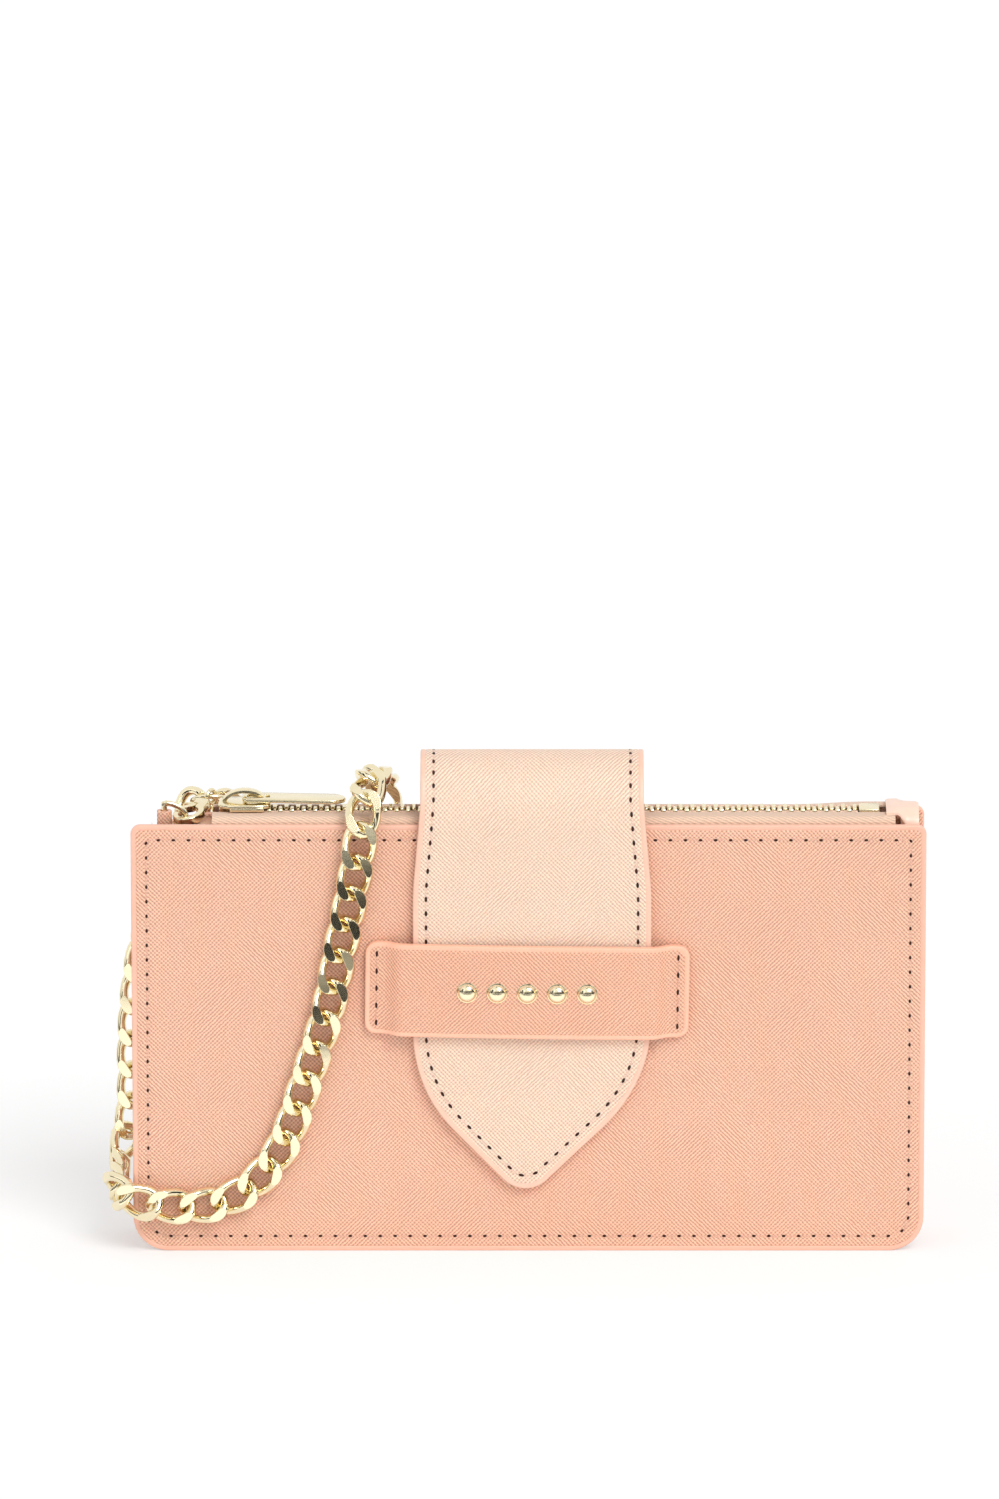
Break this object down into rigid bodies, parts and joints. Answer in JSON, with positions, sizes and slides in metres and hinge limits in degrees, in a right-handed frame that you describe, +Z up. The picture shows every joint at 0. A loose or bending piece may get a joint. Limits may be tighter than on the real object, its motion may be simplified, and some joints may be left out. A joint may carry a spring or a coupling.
{
  "type": "wristlet wallet",
  "caption": "Slim zipped leather wallet with a pointed strap flap through a keeper band, and a curb chain wrist strap on a snap clasp.",
  "frame": {"origin": "under the middle of the whole object's box, chain included, on the surface that the wallet stands on; the middle of the case is at x 3.54 mm, y -0.28 mm", "axes": "+X along the case's width to the viewer's right, +Y from front to back, +Z up"},
  "size_m": [0.187, 0.034, 0.115],
  "materials": {
    "pink_leather": "cross-hatch embossed, satin",
    "pale_leather": "cross-hatch embossed, satin",
    "coral_leather": "cross-hatch embossed, satin",
    "flap_lining": "smooth, matt",
    "lining_cloth": "twill",
    "fibre_board": "raw board",
    "zip_tape": "twill tape",
    "zip_metal": "polished plate",
    "gold_plate": "polished plate"
  },
  "bodies": {
    "case": {"back_lining": "lining_cloth", "back_panel": "pink_leather", "back_stiffener": "fibre_board", "card_pocket": "lining_cloth", "chain_back_left": "gold_plate", "chain_end_link_left": "gold_plate", "chain_end_link_right": "gold_plate", "chain_left_wrap": "gold_plate", "chain_link_01": "gold_plate", "chain_link_02": "gold_plate", "chain_link_03": "gold_plate", "chain_link_04": "gold_plate", "chain_link_05": "gold_plate", "chain_link_06": "gold_plate", "chain_link_07": "gold_plate", "chain_link_08": "gold_plate", "chain_link_09": "gold_plate", "chain_link_10": "gold_plate", "chain_link_11": "gold_plate", "chain_link_12": "gold_plate", "chain_link_13": "gold_plate", "chain_over_top": "gold_plate", "chain_side_link_1": "gold_plate", "chain_side_link_2": "gold_plate", "chain_side_link_3": "gold_plate", "chain_side_link_4": "gold_plate", "chain_side_link_5": "gold_plate", "chain_side_link_6": "gold_plate", "clasp_body": "gold_plate", "d_ring_tab": "pink_leather", "flap_root_leaf": "pale_leather", "front_lining": "lining_cloth", "front_panel": "pink_leather", "front_stiffener": "fibre_board", "gusset": "pink_leather", "jump_ring": "gold_plate", "keeper_band": "coral_leather", "keeper_stud_1": "gold_plate", "keeper_stud_2": "gold_plate", "keeper_stud_3": "gold_plate", "keeper_stud_4": "gold_plate", "keeper_stud_5": "gold_plate", "zip_bottom_stop": "zip_metal", "zip_end_tab_left": "pink_leather", "zip_end_tab_right": "pink_leather", "zip_tape_back": "zip_tape", "zip_tape_front": "zip_tape", "zip_teeth_back": "zip_metal", "zip_teeth_front": "zip_metal"},
    "flap": {"flap_strap": "pale_leather", "flap_strap_lining": "flap_lining", "flap_tongue": "pale_leather", "flap_tongue_lining": "flap_lining"},
    "slider": {"zip_slider": "gold_plate"},
    "puller": {"zip_puller": "gold_plate"},
    "ring": {"d_ring": "gold_plate"},
    "lever": {"clasp_lever": "gold_plate"},
    "swivel": {"clasp_swivel": "gold_plate"}
  },
  "joints": [
    {"name": "flap_open", "type": "hinge", "parent": "case", "child": "flap", "pos_m": [0.00354, 0.01222, 0.0975], "axis": [-1, 0, 0], "range_deg": [0, 150], "deforming": ["flap_tongue", "flap_tongue_lining"]},
    {"name": "zip_slide", "type": "slide", "parent": "case", "child": "slider", "axis": [1, 0, 0], "range_m": [0, 0.131], "deforming": ["zip_teeth_front", "zip_teeth_back"]},
    {"name": "puller_lift", "type": "hinge", "parent": "slider", "child": "puller", "pos_m": [-0.06076, -0.00028, 0.1041], "axis": [0, -1, 0], "range_deg": [0, 150]},
    {"name": "ring_swing", "type": "hinge", "parent": "case", "child": "ring", "pos_m": [-0.07906, -0.00028, 0.0994], "axis": [0, 0, 1], "range_deg": [0, 8]},
    {"name": "lever_press", "type": "hinge", "parent": "case", "child": "lever", "pos_m": [-0.07271, 0.00425, 0.10067], "axis": [-0.1483, -0.2224, 0.9636], "range_deg": [0, 14], "stiffness_Nm_per_rad": 0.002},
    {"name": "swivel_turn", "type": "hinge", "parent": "case", "child": "swivel", "pos_m": [-0.06997, 0.00601, 0.1015], "axis": [0.5345, 0.8018, 0.2673], "range_deg": [0, 15]}
  ]
}
